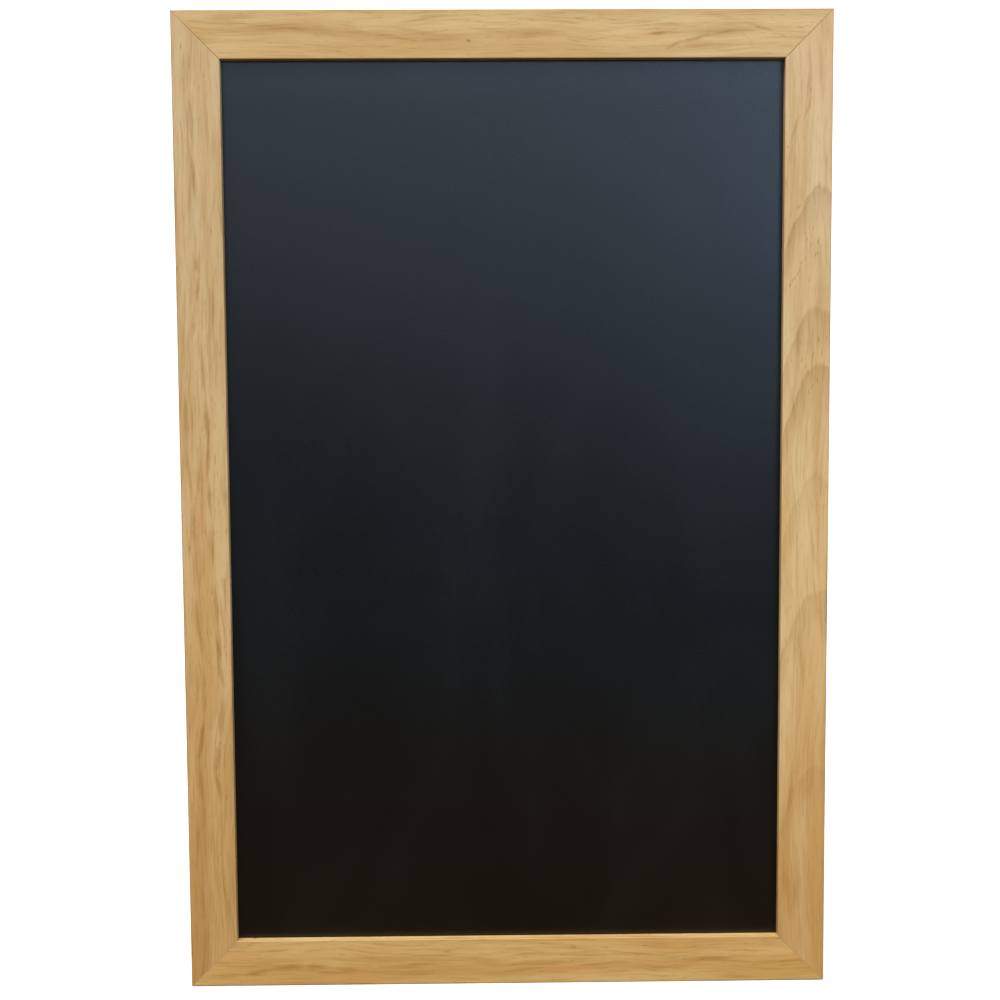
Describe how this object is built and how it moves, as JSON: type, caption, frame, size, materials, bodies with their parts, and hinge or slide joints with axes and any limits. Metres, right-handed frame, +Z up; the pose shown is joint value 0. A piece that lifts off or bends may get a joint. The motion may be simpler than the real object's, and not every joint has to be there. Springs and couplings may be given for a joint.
{
  "type": "wall chalkboard",
  "caption": "Portrait wall chalkboard: a black writing panel in a mitred, clear-lacquered pine frame, with hinged D-ring hangers and rubber bumpers on its back.",
  "frame": {"origin": "on the wall, halfway between the two hooks that the raised rings hang on", "axes": "+Z up along the board's height, +X to the right as the writing face is seen from the front, -Y out of the wall towards the viewer"},
  "size_m": [0.597, 0.0253, 0.9],
  "materials": {
    "pine": "smooth planed pine with a clear satin lacquer",
    "chalk_surface": "black chalk-writing laminate, very fine texture, matte with a faint sheen",
    "hardboard": "brown pressed fibre board",
    "steel": "bright zinc plate",
    "rubber": "moulded, matte"
  },
  "bodies": {
    "frame": {"top_rail": "pine", "right_stile": "pine", "bottom_rail": "pine", "left_stile": "pine", "writing_sheet": "chalk_surface", "backing_board": "hardboard", "v_nail_top_right_1": "steel", "v_nail_top_right_2": "steel", "v_nail_bottom_right_1": "steel", "v_nail_bottom_right_2": "steel", "v_nail_bottom_left_1": "steel", "v_nail_bottom_left_2": "steel", "v_nail_top_left_1": "steel", "v_nail_top_left_2": "steel", "panel_point_top_rail_1": "steel", "panel_point_top_rail_2": "steel", "panel_point_top_rail_3": "steel", "panel_point_right_stile_1": "steel", "panel_point_right_stile_2": "steel", "panel_point_right_stile_3": "steel", "panel_point_right_stile_4": "steel", "panel_point_right_stile_5": "steel", "panel_point_bottom_rail_1": "steel", "panel_point_bottom_rail_2": "steel", "panel_point_bottom_rail_3": "steel", "panel_point_left_stile_1": "steel", "panel_point_left_stile_2": "steel", "panel_point_left_stile_3": "steel", "panel_point_left_stile_4": "steel", "panel_point_left_stile_5": "steel", "left_hanger_strap": "steel", "left_hanger_screw_1": "steel", "left_hanger_screw_2": "steel", "right_hanger_strap": "steel", "right_hanger_screw_1": "steel", "right_hanger_screw_2": "steel", "left_bumper": "rubber", "right_bumper": "rubber"},
    "left_ring": {"left_d_ring": "steel"},
    "right_ring": {"right_d_ring": "steel"}
  },
  "joints": [
    {"name": "left_ring_hinge", "type": "hinge", "parent": "frame", "child": "left_ring", "pos_m": [-0.2815, -0.0035, -0.0115], "axis": [1, 0, 0], "range_deg": [0, 180]},
    {"name": "right_ring_hinge", "type": "hinge", "parent": "frame", "child": "right_ring", "pos_m": [0.2815, -0.0035, -0.0115], "axis": [1, 0, 0], "range_deg": [0, 180]}
  ]
}
